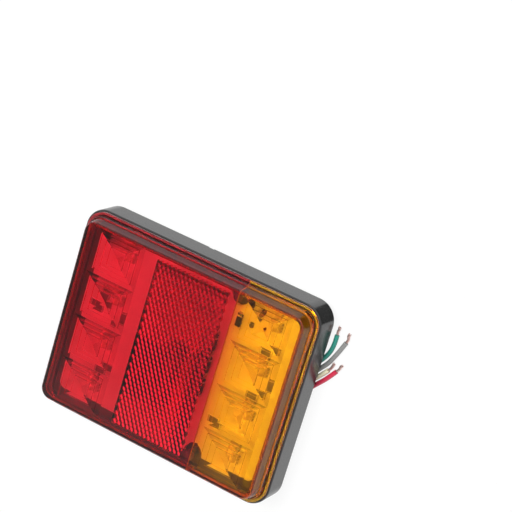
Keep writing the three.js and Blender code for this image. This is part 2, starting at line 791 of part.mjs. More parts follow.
screwYs.forEach((y, index) => addPiece(`board_screw_${index + 1}`, makeScrew(y), "zincSteel"));
fixingXs.forEach((x, index) => addPiece(`${index ? "right" : "left"}_insert`, makeInsert(x), "brass"));
addPiece("cable_grommet", makeGrommet(), "blackRubber");
addPiece("cable_sealant", makeSealant(), "blackEpoxy");

Object.entries(wires).forEach(([colour, { route, tip }], index) => {
  const sheath = `${colour}Sheath`;
  addPiece(`${colour}_wire`, tube(route, wireRadius, wireStep), sheath);
  addPiece(`${colour}_conductor`, tube(tip, conductorRadius, wireRadius), "copper");
  addPiece(`${colour}_lead`, makeLead(index), sheath);
});

export default lamp;
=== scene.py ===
# LED trailer tail light on its back: a black moulded housing, a red and amber lens over a white
# circuit board, and four thin wires with bare ends that come out from under its amber end.
import math
import random

import bmesh
import bpy
from mathutils import Matrix, Vector


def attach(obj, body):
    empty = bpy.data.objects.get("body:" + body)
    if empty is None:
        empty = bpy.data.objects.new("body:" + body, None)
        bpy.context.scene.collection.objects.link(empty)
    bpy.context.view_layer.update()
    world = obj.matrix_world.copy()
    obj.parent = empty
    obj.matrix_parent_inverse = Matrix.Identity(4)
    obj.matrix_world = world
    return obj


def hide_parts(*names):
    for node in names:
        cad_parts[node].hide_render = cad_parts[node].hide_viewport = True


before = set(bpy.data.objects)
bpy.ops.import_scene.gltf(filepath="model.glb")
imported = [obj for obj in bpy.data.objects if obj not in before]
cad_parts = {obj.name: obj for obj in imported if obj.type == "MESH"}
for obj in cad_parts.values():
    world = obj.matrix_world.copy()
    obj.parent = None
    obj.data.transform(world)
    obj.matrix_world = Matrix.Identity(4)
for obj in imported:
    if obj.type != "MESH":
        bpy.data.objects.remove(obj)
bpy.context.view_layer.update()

MM = 0.001
AROUND = 2 * math.pi

# How far a cutter runs past what it cuts, and how far joined parts run into each other. These
# and all sizes that follow are in millimetres.
spare = 1
bite = 0.5

# The lamp's outline, as the solids have it, and its heights over the floor
lamp_length = 127
lamp_width = 100
corner_radius = 10
rim_z = 3
recess_z = 9.2
floor_z = 11.2
seat_low_z = 12.9
board_z = 13.4
groove_z = 14.5
component_z = 15
seat_z = 16.7
roof_z = 23.3

# Housing: its wall, seat and back, and what stands on its floor
wall = 2.3
housing_edge = 0.6
seat_width = 5.2
groove_width = 1.6
rib_width = 1.6
rib_low_z = 5.2
rib_x = 35
rib_y = 23
foot_radius = 4.5
foot_edge = 0.5
foot_places = [(x, y) for x in (-50.5, 50.5) for y in (-37, 37)]
boss_radius = 6
boss_edge = 0.4
insert_hole_radius = 3.8
insert_hole_top_z = 8.6
entry_radius = 5.5
drain_low = (-6, 46, rim_z - spare)
drain_high = (-3, 52, rim_z + 1.2)
pad_radius = 3
pad_places = [(x, y) for x in (-48, 48) for y in (-36, 36)]
screw_places = [(0, 33), (0, -33)]
screw_hole_radius = 1.6
screw_hole_depth = 3.7
peg_radius = 1.1
peg_edge = 0.25
peg_height = 5
peg_places = [(32.4, 29), (-16.2, -29)]
post_radius = 2.5
post_edge = 0.4
post_height = 8.3
post_y = 39.8
seal_slack = 0.2
seal_top_z = 15.2
seal_edge = 0.25

# Lens: its steps as pairs of inwards and up, from the flange to the face
lens_ledge = 1
lens_gap = 0.04
flange_height = 1.3
lens_steps = ((1.6, 0), (0.4, 2), (0.7, 0), (0.8, 5), (0.5, 0.5))
lens_edge = 0.2
lens_foot = 5.4
hollow_draft = 1.3
tongue_inset = 2.5
tongue_width = 1.2
tongue_depth = 1.2
colour_border = 24.6
border_gap = 0.02
border_glow_reach = 0.1

# Optic tiles and reflex array. A drop is down from the inside of the lens's face, the trim comes
# off the array's length, points closer than the merge size become one, and the reach is how far
# the block that trims the array goes up and down.
tile_width = 26.6
tile_pitch = 21.9
tile_x = 39.65
tile_rows = 4
ring_count = 3
ring_width = 3
ring_side_width = 2.2
ring_depth = 0.95
ring_edge = 0.02
pyramid_depth = 1.6
tile_drop = 0.05
reflex_pitch = 2.4
reflex_row = reflex_pitch * math.sqrt(3) / 2
reflex_columns = 16
reflex_rows = 40
reflex_drop = 0.2
reflex_trim = 0.4
reflex_merge = 0.01
reflex_reach = 4
optics_root = 1.1

# Board and what stands on it
board_length = 106.6
board_width = 80.2
board_corner = 3
board_edge = 0.08
notch_x = 22.5
notch_y = 40.1
notch_radius = 5.5
opening_radius = 14
peg_hole_radius = 1.4
led_rows = [(row - 1.5) * tile_pitch for row in range(tile_rows)]
led_length = 4.6
led_width = 4.8
led_height = 1.6
led_edge = 0.15
led_feet = 3
led_foot_pitch = 1.6
led_foot_length = 0.4
led_foot_width = 0.9
led_foot_height = 0.5
gel_radius = 2.2
gel_height = 1.9
gel_sink = 0.02
tin_edge = 0.08
diode_x = 16.3
diode_y = 3.1
diode_pitch = 11
diode_axis_z = component_z + 1.65
diode_radius = 1.5
diode_length = 7.6
diode_edge = 0.3
diode_lead_reach = 5
diode_lead_low = 0.2
diode_lead_bend = 0.5
diode_lead_diameter = 0.8
diode_band_y = 2.4
diode_band_width = 0.9
diode_band_height = 0.02
bead_radius = 0.9
bead_top_radius = 0.45
bead_height = 0.5
chip_length = 6.3
chip_width = 3.2
chip_height = 0.6
chip_end_length = 0.66
ceramic_inset = 0.6
ceramic_drop = 0.05
glaze_inset = 0.8
glaze_side_inset = 0.15
glaze_depth = 0.08
glaze_edge = 0.03
supply_diode_x = 25.7
supply_diode_y = 29
supply_diode_width = 3.4
supply_diode_length = 5.6
supply_diode_height = 2.1
supply_diode_edge = 0.2
supply_band_y = 2.1
supply_band_length = 3.2
supply_band_width = 0.7
supply_band_depth = 0.05
supply_tab_width = 1.7
supply_tab_length = 7.6
supply_tab_height = 0.3
supply_tab_edge = 0.06
screw_head_radius = 2.5
screw_head_top_z = 16.8
screw_head_edge = 0.55
screw_cross_length = 3.4
screw_cross_width = 0.7
screw_cross_depth = 0.8
screw_radius = 1.3
screw_low_z = 10.2

# Inserts, cable entry and inner leads
insert_radius = 3.5
insert_low_z = 0.3
insert_top_z = 8.3
insert_bore_radius = 2.1
insert_edge = 0.12
grip_lows = (1.9, 5.1)
grip_width = 1.6
grip_radius = 3.1
grommet_radius = 8
grommet_height = 1.2
grommet_edge = 0.35
plug_radius = 5.2
sealant_radius = 9
sealant_height = 2.4
inner_lead_reach = 18.5

# The floor, and the black card that darkens a corner in gloss
floor_span = 6000
card_place = (84, 72, 0.05)
card_size = (54, 58, 1)


# A value or colour in a node tree. Sums, products and comparisons add their own Math nodes.
class Field:
    def __init__(self, nodes, socket):
        self.nodes = nodes
        self.socket = socket

    def math(self, operation, *values):
        settings = {"operation": operation}
        return self.nodes.node("ShaderNodeMath", "Value", settings, dict(enumerate(values)))

    def __add__(self, other):
        return self.math("ADD", self, other)

    __radd__ = __add__

    def __mul__(self, other):
        return self.math("MULTIPLY", self, other)

    __rmul__ = __mul__

    def __sub__(self, other):
        return self.math("SUBTRACT", self, other)

    def __rsub__(self, other):
        return self.math("SUBTRACT", other, self)

    def __gt__(self, other):
        return self.math("GREATER_THAN", self, other)

    def __lt__(self, other):
        return self.math("LESS_THAN", self, other)

    # How far a value lies beyond a limit, on either side of nought
    def past(self, limit):
        beyond = self.math("ABSOLUTE", self) - limit
        return beyond.math("MAXIMUM", beyond, 0)


# The nodes of one tree
class Nodes:
    def __init__(self, tree):
        self.tree = tree

    # A node's sockets go by name or by number, and take a value or a link
    def set(self, node, sockets):
        for key, value in sockets.items():
            if isinstance(value, Field):
                self.tree.links.new(value.socket, node.inputs[key])
            else:
                node.inputs[key].default_value = value

    # Adds a node, with its settings set before its sockets, and returns one of its outputs
    def node(self, kind, output, settings=None, sockets=None):
        made = self.tree.nodes.new(kind)
        for name, value in (settings or {}).items():
            if name == "stops":
                for element, (place, color) in zip(made.color_ramp.elements, value):
                    element.position = place
                    element.color = color
            else:
                setattr(made, name, value)
        self.set(made, sockets or {})
        return Field(self, made.outputs[output])

    # Feeds a node that the tree has from the start
    def feed(self, name, sockets):
        self.set(self.tree.nodes[name], sockets)


# One material: its nodes, and the shader that they feed
class Finish(Nodes):
    def __init__(self, name, sockets):
        self.material = bpy.data.materials.new(name)
        self.material.use_nodes = True
        super().__init__(self.material.node_tree)
        self.surface(sockets)

    def surface(self, sockets):
        self.feed("Principled BSDF", sockets)
        return self.material

    def place(self):
        return self.node("ShaderNodeTexCoord", "Object")

    def axes(self):
        place = {"Vector": self.place()}
        return [self.node("ShaderNodeSeparateXYZ", axis, sockets=place) for axis in "XYZ"]

    def noise(self, scale, detail, roughness=0.5, place=None):
        sockets = {"Scale": scale, "Detail": detail, "Roughness": roughness}
        sockets["Vector"] = place or self.place()
        return self.node("ShaderNodeTexNoise", "Fac", sockets=sockets)

    def stretched(self, x, y, z):
        sockets = {"Vector": self.place(), "Scale": (x, y, z)}
        return self.node("ShaderNodeMapping", "Vector", sockets=sockets)

    # A Mix node's share and its two colours are its sockets 0, 6 and 7, and its colour is output 2
    def blend(self, share, first, second):
        sockets = {0: share, 6: first, 7: second}
        return self.node("ShaderNodeMix", 2, {"data_type": "RGBA"}, sockets)

    def bump(self, height, distance, strength=1):
        sockets = {"Height": height, "Distance": distance, "Strength": strength}
        return self.node("ShaderNodeBump", "Normal", sockets=sockets)


def grey(level):
    return (level, level, level, 1)


# Finishes: noise scales are in patches per metre, and bump depths in metres
def sheath_finish(name, color):
    finish = Finish(name, {"Roughness": 0.38})
    darker = tuple(part * 0.82 for part in color[:3]) + (1,)
    return finish.surface({
        "Base Color": finish.blend(finish.noise(600, 3), darker, color),
        "Normal": finish.bump(finish.noise(2500, 2), 0.00004),
    })


def copper_finish():
    finish = Finish("bare_copper", {"Metallic": 1, "Roughness": 0.3})
    dull, bright = (0.66, 0.4, 0.34, 1), (0.86, 0.68, 0.65, 1)
    return finish.surface({"Base Color": finish.blend(finish.noise(900, 3), dull, bright)})


def metal_finish(name, dull, bright, roughness):
    finish = Finish(name, {"Metallic": 1})
    wear = finish.noise(1100, 4, roughness=0.6)
    return finish.surface({
        "Base Color": finish.blend(wear, dull, bright),
        "Roughness": roughness + wear * 0.15,
        "Normal": finish.bump(wear, 0.00002),
    })


def grained_finish(name, low, high, roughness, grain_scale, detail, grain_depth):
    finish = Finish(name, {"Roughness": roughness})
    grain = finish.noise(grain_scale, detail)
    return finish.surface({
        "Base Color": finish.blend(grain, low, high),
        "Normal": finish.bump(grain, grain_depth),
    })


def plain_finish(name, low, high, roughness):
    finish = Finish(name, {"Roughness": roughness})
    patches = finish.noise(1500, 3)
    return finish.surface({
        "Base Color": finish.blend(patches, low, high),
        "Normal": finish.bump(patches, 0.00002, 0.5),
    })


def board_finish():
    finish = Finish("white_mask", {"Roughness": 0.35})
    return finish.surface({
        "Base Color": finish.blend(finish.noise(220, 3), grey(0.86), (0.95, 0.95, 0.93, 1)),
        "Normal": finish.bump(finish.noise(1500, 2), 0.00002, 0.5),
    })


# Housing finish: black moulding plastic, glossy outside with fine upright draw marks and fine dust,
# and matt inside, where a paler base colour is painted sheen, with the seat under the lens painted
# pale as painted light that the flange shows as a bright line. What tells these places apart is the
# height, and the squared distance past the centres of the corners.
def housing_finish():
    finish = Finish("black_moulding", {})
    x, y, z = finish.axes()
    past_x = x.past((lamp_length / 2 - corner_radius) * MM)
    past_y = y.past((lamp_width / 2 - corner_radius) * MM)
    past_corner = past_x * past_x + past_y * past_y
    wall_reach, lens_reach, seat_reach = [
        ((corner_radius - inwards) * MM) ** 2 for inwards in (wall, lens_ledge, seat_width)
    ]
    outside = ((past_corner > wall_reach) + (z < (recess_z + 1) * MM)) > 0.5
    on_seat = (past_corner > seat_reach) * (past_corner < lens_reach)
    # The seat under the lens is painted pale grey: painted light, which the flange shows as a
    # bright line.
    pale_seat_painted_light = (z > (seat_z - 0.1) * MM) * on_seat
    grain = finish.noise(4200, 2)
    flow = finish.noise(70, 4, place=finish.stretched(1, 1, 3))
    marks = finish.noise(1400, 3, place=finish.stretched(1, 1, 0.04))
    dust = finish.noise(2600, 0) > 0.77
    # The inside's paler grey is painted sheen: reflected light painted into the base colour of a
    # plastic that is black all over.
    moulding_and_painted_sheen = finish.blend(outside, grey(0.17), finish.blend(flow, grey(0.016), grey(0.03)))
    dust_and_painted_sheen = finish.blend(dust * 0.3, moulding_and_painted_sheen, grey(0.12))
    return finish.surface({
        "Base Color": finish.blend(pale_seat_painted_light, dust_and_painted_sheen, grey(0.5)),
        "Roughness": 0.46 - outside * 0.28 + flow * 0.06 + grain * 0.03,
        "Normal": finish.bump(grain * 0.4 + marks * 0.6, 0.00003, 0.6),
    })


# Coloured acrylic: tinted at its surface, and it takes up light over the path inside
def pmma(name, tint, color):
    clear = {"Base Color": tint, "Roughness": 0.02, "Transmission Weight": 1, "IOR": 1.49}
    finish = Finish(name, clear)
    sockets = {"Color": color, "Density": 1 / MM}
    depth = finish.node("ShaderNodeVolumeAbsorption", "Volume", sockets=sockets)
    finish.feed("Material Output", {"Volume": depth})
    return finish.material


# Wires: each drops from the grommet and then lies on the floor. The drop is x and z, at the wire's
# own y, and the run and the bare tip are x and y, at the height of a wire that lies.
wire_diameter = 2.2
lying_z = 1.2
drop = [(0, 7.7), (0, 6.4), (0.4, 4.41), (1.52, 2.72), (3.21, 1.6)]
wires = {
    "green": {
        "exit_y": 3.75,
        "run": [
            (5.2, 3.6), (9, 2.4), (14.4, -0.6), (19.5, -4.3), (25.4, -7.7), (31.4, -9.5),
            (36.3, -9.2), (40.1, -7.2), (43.7, -3), (47.1, 1.6), (50.7, 6.8), (54, 11.4),
            (57.3, 15.8), (60.4, 20.2), (63.2, 24.3), (65, 28.2), (65.7, 32.4), (65.7, 36.7),
        ],
        "tip": [(65.7, 37), (65.6, 38.6), (65.9, 40), (65.5, 41.4)],
        "color": (0.03, 0.27, 0.21, 1),
    },
    "grey": {
        "exit_y": 1.25,
        "run": [
            (5.2, 1.1), (8.6, -0.1), (12.9, -2.7), (18.2, -6.4), (24.4, -10), (31, -12),
            (36.9, -11.6), (41.8, -9), (45.7, -4.6), (49.2, 0.3), (52.7, 5.3), (56, 9.9),
            (59.3, 14.1), (62.5, 18.3), (65.7, 22.7), (68.4, 28.5), (70.9, 35.1),
        ],
        "tip": [(71, 35.4), (71.4, 37), (71.1, 38.6), (71.4, 40)],
        "color": (0.225, 0.225, 0.22, 1),
    },
    "cream": {
        "exit_y": -1.25,
        "run": [
            (5.2, -1.35), (8.2, -2.55), (11.5, -4.6), (16.8, -8.6), (23.3, -12.3),
            (30.7, -14.5), (37.6, -14), (43.5, -10.9), (47.6, -6.2), (51.2, -1.1),
            (54.7, 3.8), (58.1, 8.4), (61.3, 12.5), (64.3, 16.2), (66.9, 19.6),
        ],
        "tip": [(67.1, 19.9), (67.9, 21.3), (68.4, 22.8), (68.6, 24.3)],
        "color": (0.75, 0.7, 0.5, 1),
    },
    "red": {
        "exit_y": -3.75,
        "run": [
            (5.2, -3.9), (8, -5.15), (10.6, -7.15), (15.5, -10.8), (22.3, -14.6),
            (30.3, -16.9), (38.3, -16.4), (45.1, -12.8), (49.5, -7.8), (53.3, -2.5),
            (56.7, 2.4), (60.1, 6.9), (63.4, 10.9), (67.1, 15.4), (70.7, 20.7),
        ],
        "tip": [(70.9, 21), (71.7, 22.3), (72.1, 23.7), (72.9, 24.9)],
        "color": (0.52, 0.027, 0.065, 1),
    },
}

# Strands of a bare end: layers as radius and number, how they twist and come loose at the tip, and
# the least and greatest share of that looseness and of the tip's length that a strand has
strand_diameter = 0.3
strand_layers = ((0.2, 4), (0.5, 10))
strand_twist = 0.9
strand_spread = 0.4
strand_loose_shares = (0.2, 1)
strand_reach_shares = (0.8, 1)

housing_plastic = housing_finish()
rubber = grained_finish(
    "black_rubber", grey(0.012), grey(0.03),
    roughness=0.75, grain_scale=1800, detail=3, grain_depth=0.00006,
)
epoxy = grained_finish(
    "black_epoxy", grey(0.01), grey(0.022),
    roughness=0.35, grain_scale=3000, detail=2, grain_depth=0.00003,
)
solder = metal_finish("bright_solder", grey(0.45), grey(0.72), roughness=0.25)
zinc = metal_finish("zinc_plate", grey(0.42), (0.66, 0.67, 0.7, 1), roughness=0.3)
brass = metal_finish(
    "turned_brass", (0.45, 0.3, 0.1, 1), (0.74, 0.54, 0.24, 1), roughness=0.28
)
board_white = board_finish()
led_white = plain_finish(
    "led_resin", (0.84, 0.83, 0.8, 1), (0.92, 0.91, 0.88, 1), roughness=0.4
)
led_gel = plain_finish(
    "led_gel", (0.82, 0.78, 0.66, 1), (0.9, 0.87, 0.76, 1), roughness=0.12
)
chip_black = plain_finish("chip_glaze", grey(0.2), grey(0.28), roughness=0.22)
band_grey = plain_finish("cathode_band", grey(0.5), grey(0.6), roughness=0.45)
# Painted glow: an orange-red colour on the amber's border face that stands in for red light seen
# through the colour border.
painted_border_glow = plain_finish(
    "painted_border_glow", (0.6, 0.09, 0.02, 1), (0.75, 0.15, 0.03, 1), roughness=0.4
)
red_pmma = pmma("red_pmma", (0.98, 0.4, 0.39, 1), (0.96, 0.54, 0.69, 1))
amber_pmma = pmma("amber_pmma", (1, 0.91, 0.35, 1), (0.999, 0.875, 0.36, 1))
sheaths = {name: sheath_finish(f"{name}_pvc", wire["color"]) for name, wire in wires.items()}
copper = copper_finish()


# An object goes into the scene's own collection
def show(thing):
    bpy.context.scene.collection.objects.link(thing)
    return thing


# Camera, from the photograph
def add_camera():
    across = Vector((0.84002, 0.27841, -0.46567))
    up = Vector((-0.38773, 0.90843, -0.1563))
    turn = Matrix((across, up, across.cross(up))).transposed()
    data = bpy.data.cameras.new("camera")
    data.sensor_width = 36
    data.lens = 134.95
    data.clip_start = 0.05
    data.clip_end = 20
    camera = show(bpy.data.objects.new("camera", data))
    camera.matrix_world = turn.to_4x4()
    camera.location = Vector((346.36, 325.57, 758.01)) * MM
    bpy.context.scene.camera = camera


# Modelling by hand: sizes come in millimetres
def start(name, add, at=(0, 0, 0), span=(1, 1, 1), **settings):
    bpy.ops.object.select_all(action="DESELECT")
    add(location=Vector(at) * MM, **settings)
    piece = bpy.context.object
    piece.name = name
    piece.scale = Vector(span) * MM
    bpy.ops.object.transform_apply(location=True, rotation=True, scale=True)
    bpy.ops.object.mode_set(mode="EDIT")
    bpy.ops.mesh.select_all(action="SELECT")
    return piece


def done(piece):
    bpy.ops.mesh.select_all(action="SELECT")
    bpy.ops.mesh.normals_make_consistent(inside=False)
    bpy.ops.object.mode_set(mode="OBJECT")
    return piece


def pick(piece, kind, test):
    bpy.ops.mesh.select_mode(type=kind)
    bpy.ops.mesh.select_all(action="DESELECT")
    shape = bmesh.from_edit_mesh(piece.data)
    parts = {"VERT": shape.verts, "EDGE": shape.edges, "FACE": shape.faces}[kind]
    for part in parts:
        part.select_set(bool(test(part)))
    shape.select_flush_mode()
    bmesh.update_edit_mesh(piece.data)


def middle_of(part):
    return sum((vert.co for vert in part.verts), Vector()) / len(part.verts) / MM


def inset(thickness, depth=0, apart=False):
    bpy.ops.mesh.inset(thickness=thickness * MM, depth=depth * MM, use_individual=apart)


def extrude(z):
    bpy.ops.mesh.extrude_region_move(TRANSFORM_OT_translate={"value": (0, 0, z * MM)})


def lower(depth):
    bpy.ops.transform.translate(value=(0, 0, -depth * MM))


def rounded_sheet(name, size, radius, at, segments=14):
    piece = start(name, bpy.ops.mesh.primitive_plane_add, at, size, size=1)
    bpy.ops.mesh.bevel(offset=radius * MM, segments=segments, affect="VERTICES")
    bpy.ops.mesh.select_all(action="SELECT")
    return piece


# A rounded rectangle, inset from the lamp's own outline
def outline(name, inwards, z):
    size = (lamp_length - 2 * inwards, lamp_width - 2 * inwards, 1)
    return rounded_sheet(name, size, corner_radius - inwards, (0, 0, z))


# A closed frame of the lamp's outline
def ring(name, inwards, width, low, high):
    piece = outline(name, inwards, low)
    inset(width)
    bpy.ops.mesh.delete(type="FACE")
    bpy.ops.mesh.select_all(action="SELECT")
    extrude(high - low)
    return done(piece)


def block(name, low, high):
    low, high = Vector(low), Vector(high)
    cube = bpy.ops.mesh.primitive_cube_add
    return done(start(name, cube, (low + high) / 2, high - low, size=1))


def slab(name, x, y, length, width, low, high):
    half_length, half_width = length / 2, width / 2
    near = (x - half_length, y - half_width, low)
    return block(name, near, (x + half_length, y + half_width, high))


def bar(name, radius, x, y, low, high, sides=40, top=None):
    cone = bpy.ops.mesh.primitive_cone_add
    radii = {"radius1": radius, "radius2": radius if top is None else top}
    place = (x, y, (low + high) / 2)
    return done(start(name, cone, place, vertices=sides, depth=high - low, **radii))


# A bar that lies along Y
def barrel(name, radius, at, length):
    cylinder = bpy.ops.mesh.primitive_cylinder_add
    lying = (math.pi / 2, 0, 0)
    sizes = {"radius": radius, "depth": length, "vertices": 32}
    return done(start(name, cylinder, at, rotation=lying, **sizes))


def make_active(piece):
    bpy.ops.object.select_all(action="DESELECT")
    piece.select_set(True)
    bpy.context.view_layer.objects.active = piece


def apply(piece, kind, **settings):
    make_active(piece)
    modifier = piece.modifiers.new(kind.lower(), kind)
    for name, value in settings.items():
        setattr(modifier, name, value)
    bpy.ops.object.modifier_apply(modifier=modifier.name)
    return piece


def combine(piece, others, operation):
    for other in others:
        apply(piece, "BOOLEAN", operation=operation, solver="MANIFOLD", object=other)
        bpy.data.objects.remove(other)
    return piece


def cut(piece, *others):
    return combine(piece, others, "DIFFERENCE")


def unite(piece, *others):
    return combine(piece, others, "UNION")


def round_edges(piece, width, segments=2):
    limit = {"limit_method": "ANGLE", "angle_limit": math.radians(30)}
    return apply(piece, "BEVEL", width=width * MM, segments=segments, **limit)


def smooth(piece, angle=30):
    make_active(piece)
    bpy.ops.object.shade_smooth_by_angle(angle=math.radians(angle))
    return piece


# A low dome: the upper part of a flattened ball
def dome(name, radius, low, height):
    ball = bpy.ops.mesh.primitive_uv_sphere_add
    span = (1, 1, height / radius)
    piece = start(name, ball, (0, 0, low), span, segments=48, ring_count=24, radius=radius)
    plane = {"plane_co": (0, 0, low * MM), "plane_no": (0, 0, -1)}
    bpy.ops.mesh.bisect(**plane, use_fill=True, clear_outer=True)
    return smooth(done(piece), angle=60)


def join(*pieces):
    make_active(pieces[0])
    for piece in pieces[1:]:
        piece.select_set(True)
    bpy.ops.object.join()
    return pieces[0]


def copy_of(piece, name, shift=(0, 0, 0)):
    twin = show(piece.copy())
    twin.data = piece.data.copy()
    twin.name = name
    twin.data.transform(Matrix.Translation(Vector(shift) * MM))
    return twin


def row_of(piece, count, x=0, y=0):
    shift = {"use_constant_offset": True, "constant_offset_displace": (x * MM, y * MM, 0)}
    return apply(piece, "ARRAY", count=count, use_relative_offset=False, **shift)


def dress(piece, finish):
    piece.data.materials.clear()
    piece.data.materials.append(finish)
    return piece


def fit(piece, node):
    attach(piece, "root")
    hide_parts(node)


# A smooth line through points, with points of its own a step apart: a centripetal spline, whose
# slopes at the two ends of a span come from the gaps before, in and after it
def smooth_line(points, step):
    points = [Vector(point) * MM for point in points]
    ends = [2 * points[0] - points[1], *points, 2 * points[-1] - points[-2]]
    line = []
    for before, near, far, after in zip(ends, ends[1:], ends[2:], ends[3:]):
        pairs = ((before, near), (near, far), (far, after))
        first, middle, last = [(b - a).length ** 0.5 for a, b in pairs]
        across_near = (far - before) / (first + middle)
        across_far = (after - near) / (middle + last)
        leave = (near - before) / first - across_near + (far - near) / middle
        arrive = (far - near) / middle - across_far + (after - far) / last
        parts = (near, leave * middle, far, arrive * middle)
        count = max(1, round((far - near).length / (step * MM)))
        for index in range(count):
            t = index / count
            square, cube = t**2, t**3
            shares = (2 * cube - 3 * square + 1, cube - 2 * square + t)
            shares += (3 * square - 2 * cube, cube - square)
            line.append(sum((part * share for part, share in zip(parts, shares)), Vector()))
    return [*line, points[-1]]


def length_of(line):
    return sum((b - a).length for a, b in zip(line, line[1:]))


def add_curve(name, lines, diameter, finish, resolution=4):
    data = bpy.data.curves.new(name, "CURVE")
    data.dimensions = "3D"
    data.bevel_depth = diameter / 2 * MM
    data.bevel_resolution = resolution
    data.use_fill_caps = True
    for line in lines:
        spline = data.splines.new("POLY")
        spline.points.add(len(line) - 1)
        for point, place in zip(spline.points, line):
            point.co = (*place, 1)
        spline.use_smooth = True
    data.materials.append(finish)
    return show(bpy.data.objects.new(name, data))


# Strands: layers twisted round the bare end's own line
def strand_lines(name, tip):
    rng = random.Random(name)
    line = smooth_line(tip, step=0.2)
    steps = len(line)
    lines = []
    for layer, count in strand_layers:
        for index in range(count):
            phase = AROUND * index / count + layer
            loose = rng.uniform(*strand_loose_shares) * strand_spread
            reach = rng.uniform(*strand_reach_shares)
            points = []
            for step, centre in enumerate(line[: max(3, int(steps * reach))]):
                share = step / (steps - 1)
                along = line[min(step + 1, steps - 1)] - line[max(step - 1, 0)]
                side = along.normalized().cross(Vector((0, 0, 1))).normalized()
                lift = side.cross(along.normalized())
                angle = phase + share * AROUND * strand_twist
                radius = (layer + loose * share**3) * MM
                outwards = side * math.cos(angle) + lift * math.sin(angle)
                points.append(centre + radius * outwards)
            lines.append(points)
    return lines


def add_wires():
    for name, wire in wires.items():
        run, tip = [[(x, y, lying_z) for x, y in wire[part]] for part in ("run", "tip")]
        line = smooth_line([(x, wire["exit_y"], z) for x, z in drop] + run, step=0.8)
        sheath = add_curve(f"{name}_sheath", [line], wire_diameter, sheaths[name])
        ends = strand_lines(name, tip)
        strands = add_curve(f"{name}_strands", ends, strand_diameter, copper, resolution=2)
        fit(sheath, f"{name}_wire")
        fit(strands, f"{name}_conductor")
        length_of(line)


# Housing: a tray with a stepped seat and its groove, and a ribbed recess with feet at the back
def housing_cavity():
    piece = outline("cavity", wall, floor_z)
    extrude(seat_low_z - floor_z)
    inset(seat_width - wall)
    extrude(seat_z + spare - seat_low_z)
    return done(piece)


def housing_recess():
    piece = outline("recess", wall, rim_z - spare)
    extrude(recess_z - rim_z + spare)
    return done(piece)


def housing_back():
    length = lamp_length - 2 * wall + 2 * bite
    width = lamp_width - 2 * wall + 2 * bite
    top = recess_z + bite
    ribs = [slab("rib", 0, y, length, rib_width, rib_low_z, top) for y in (-rib_y, rib_y)]
    ribs += [slab("rib", x, 0, rib_width, width, rib_low_z, top) for x in (-rib_x, rib_x)]
    stands = [
        round_edges(bar("foot", foot_radius, *place, 0, top), foot_edge, segments=3)
        for place in foot_places
    ]
    stands += [
        round_edges(bar("boss", boss_radius, x, 0, 0, top), boss_edge) for x in (-rib_x, rib_x)
    ]
    return ribs + stands


def housing_supports():
    low = floor_z - bite
    pads = [bar("pad", pad_radius, *place, low, board_z) for place in pad_places + screw_places]
    peg_top, post_top = floor_z + peg_height, floor_z + post_height
    pegs = [
        round_edges(bar("peg", peg_radius, *place, low, peg_top, sides=24), peg_edge)
        for place in peg_places
    ]
    posts = [
        round_edges(bar("post", post_radius, notch_x, y, low, post_top), post_edge)
        for y in (-post_y, post_y)
    ]
    return pads + pegs + posts


def housing_holes():
    screw_low, screw_high = board_z - screw_hole_depth, board_z + spare
    return [
        bar("cable_entry", entry_radius, 0, 0, recess_z - spare, floor_z + spare),
        block("drain", drain_low, drain_high),
        *[
            bar("insert_hole", insert_hole_radius, x, 0, -spare, insert_hole_top_z)
            for x in (-rib_x, rib_x)
        ],
        *[
            bar("screw_hole", screw_hole_radius, *place, screw_low, screw_high, sides=20)
            for place in screw_places
        ],
    ]


def add_housing():
    shell = outline("housing_tray", 0, rim_z)
    extrude(seat_z - rim_z)
    done(shell)
    round_edges(shell, housing_edge, segments=3)
    groove = ("groove", wall, groove_width, groove_z, seat_z + spare)
    cut(shell, housing_cavity(), housing_recess(), ring(*groove))
    unite(shell, *housing_back(), *housing_supports())
    cut(shell, *housing_holes())
    apply(smooth(shell), "WEIGHTED_NORMAL", keep_sharp=True)
    fit(dress(shell, housing_plastic), "housing")


# Seal: a bead of gasket in the groove under the lens's tongue
def add_seal():
    seal_width = groove_width - 2 * seal_slack
    seal = ring("seal_bead", wall + seal_slack, seal_width, groove_z, seal_top_z)
    round_edges(seal, seal_edge, segments=3)
    smooth(seal)
    fit(dress(seal, rubber), "lens_seal")


# Lens: outside steps, hollow, optic tiles and reflex array
def lens_outside():
    piece = outline("lens_outside", lens_ledge, seat_z + lens_gap)
    extrude(flange_height - lens_gap)
    for inwards, rise in lens_steps:
        inset(inwards, rise)
    return round_edges(done(piece), lens_edge)


def lens_hollow():
    piece = outline("lens_hollow", lens_foot, seat_z - spare)
    extrude(spare)
    inset(hollow_draft, roof_z - seat_z)
    return done(piece)


# Optic tiles: rings that slope down to their inner edge and step back up, round a pyramid. They
# are drawn on a stretched grid, which gives the rings their two widths.
def optic_tiles(x):
    squeeze = ring_side_width / ring_width
    grid = bpy.ops.mesh.primitive_grid_add
    size = (tile_width, tile_rows * tile_pitch / squeeze, 1)
    parts = {"x_subdivisions": 1, "y_subdivisions": tile_rows}
    piece = start("optic_tiles", grid, (x, 0, roof_z - tile_drop), size, size=1, **parts)
    extrude(optics_root)
    done(piece)
    bpy.ops.object.mode_set(mode="EDIT")
    pick(piece, "FACE", lambda face: middle_of(face).z < roof_z)
    for count in range(ring_count):
        inset(ring_width, ring_depth, apart=True)
        inset(ring_edge, -ring_depth, apart=True)
    bpy.ops.mesh.poke(offset=pyramid_depth * MM)
    bpy.ops.mesh.select_all(action="SELECT")
    bpy.ops.transform.resize(value=(1, squeeze, 1), center_override=(0, 0, 0))
    return done(piece)


